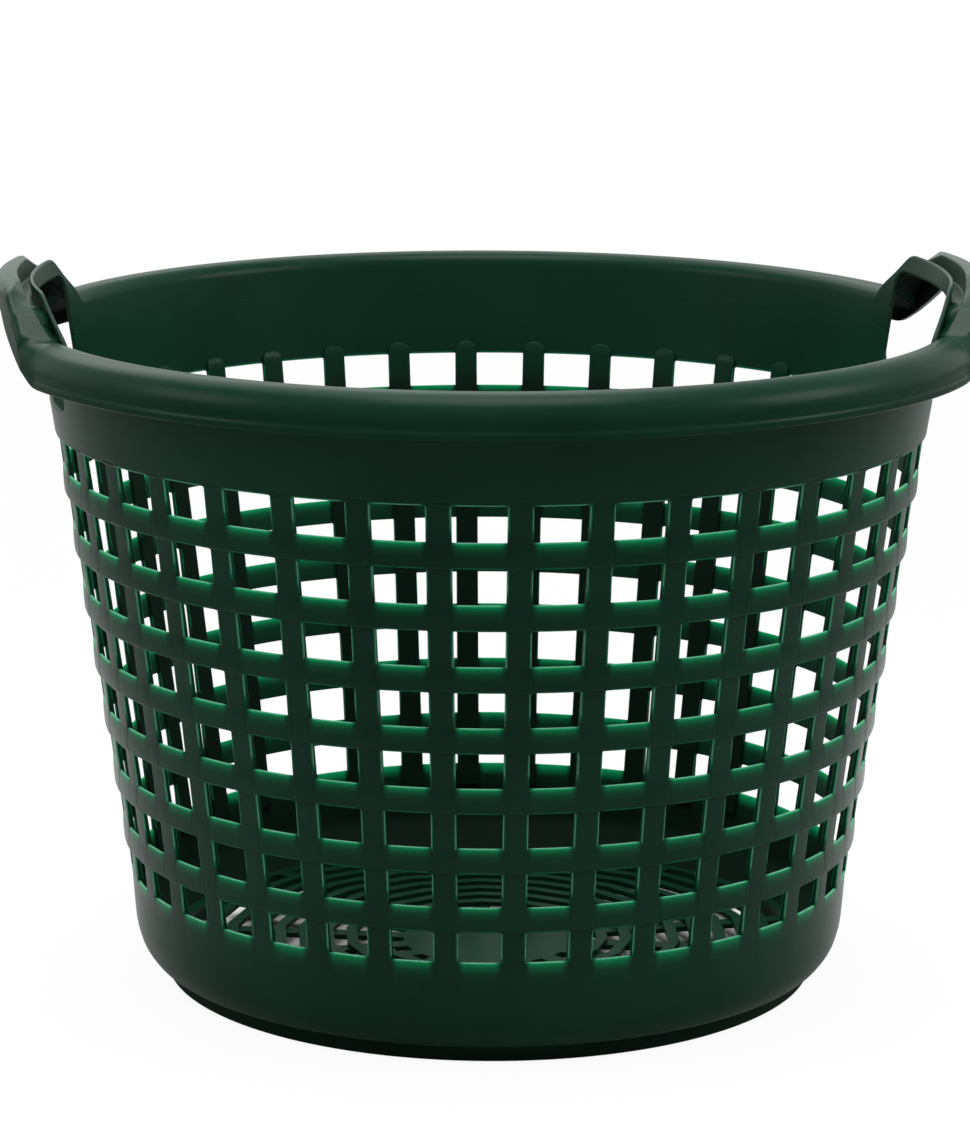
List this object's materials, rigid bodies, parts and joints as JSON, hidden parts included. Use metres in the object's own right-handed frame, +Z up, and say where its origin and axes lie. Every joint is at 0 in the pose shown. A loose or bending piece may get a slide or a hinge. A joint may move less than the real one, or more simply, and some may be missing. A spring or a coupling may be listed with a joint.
{
  "type": "garden basket",
  "caption": "Round tapering open-work plastic garden basket: rolled rim with two arched hand grips, lattice wall of level hoops over upright slats, closed skirt and slotted floor.",
  "frame": {"origin": "centre of the circle that the foot ring stands on, on the ground plane", "axes": "+Z up along the basket's axis; +X through the middle of the right-hand grip; +Y to the back; the camera of the picture looks along +Y"},
  "size_m": [0.4264, 0.424, 0.3118],
  "materials": {
    "green_polyethylene": "satin, slightly translucent dark green"
  },
  "bodies": {
    "root": {"rim_front": "green_polyethylene", "rim_back": "green_polyethylene", "handle_left_wall": "green_polyethylene", "handle_right_wall": "green_polyethylene", "handle_left_grip": "green_polyethylene", "handle_right_grip": "green_polyethylene", "upper_band": "green_polyethylene", "hoop_1": "green_polyethylene", "hoop_2": "green_polyethylene", "hoop_3": "green_polyethylene", "hoop_4": "green_polyethylene", "hoop_5": "green_polyethylene", "hoop_6": "green_polyethylene", "hoop_7": "green_polyethylene", "stave_01": "green_polyethylene", "stave_02": "green_polyethylene", "stave_03": "green_polyethylene", "stave_04": "green_polyethylene", "stave_05": "green_polyethylene", "stave_06": "green_polyethylene", "stave_07": "green_polyethylene", "stave_08": "green_polyethylene", "stave_09": "green_polyethylene", "stave_10": "green_polyethylene", "stave_11": "green_polyethylene", "stave_12": "green_polyethylene", "stave_13": "green_polyethylene", "stave_14": "green_polyethylene", "stave_15": "green_polyethylene", "stave_16": "green_polyethylene", "stave_17": "green_polyethylene", "stave_18": "green_polyethylene", "stave_19": "green_polyethylene", "stave_20": "green_polyethylene", "stave_21": "green_polyethylene", "stave_22": "green_polyethylene", "stave_23": "green_polyethylene", "stave_24": "green_polyethylene", "stave_25": "green_polyethylene", "stave_26": "green_polyethylene", "stave_27": "green_polyethylene", "stave_28": "green_polyethylene", "stave_29": "green_polyethylene", "stave_30": "green_polyethylene", "stave_31": "green_polyethylene", "stave_32": "green_polyethylene", "stave_33": "green_polyethylene", "stave_34": "green_polyethylene", "stave_35": "green_polyethylene", "stave_36": "green_polyethylene", "skirt": "green_polyethylene", "foot_ring": "green_polyethylene", "floor_edge": "green_polyethylene", "floor_disc": "green_polyethylene", "floor_spokes": "green_polyethylene", "floor_rings": "green_polyethylene"}
  },
  "joints": []
}
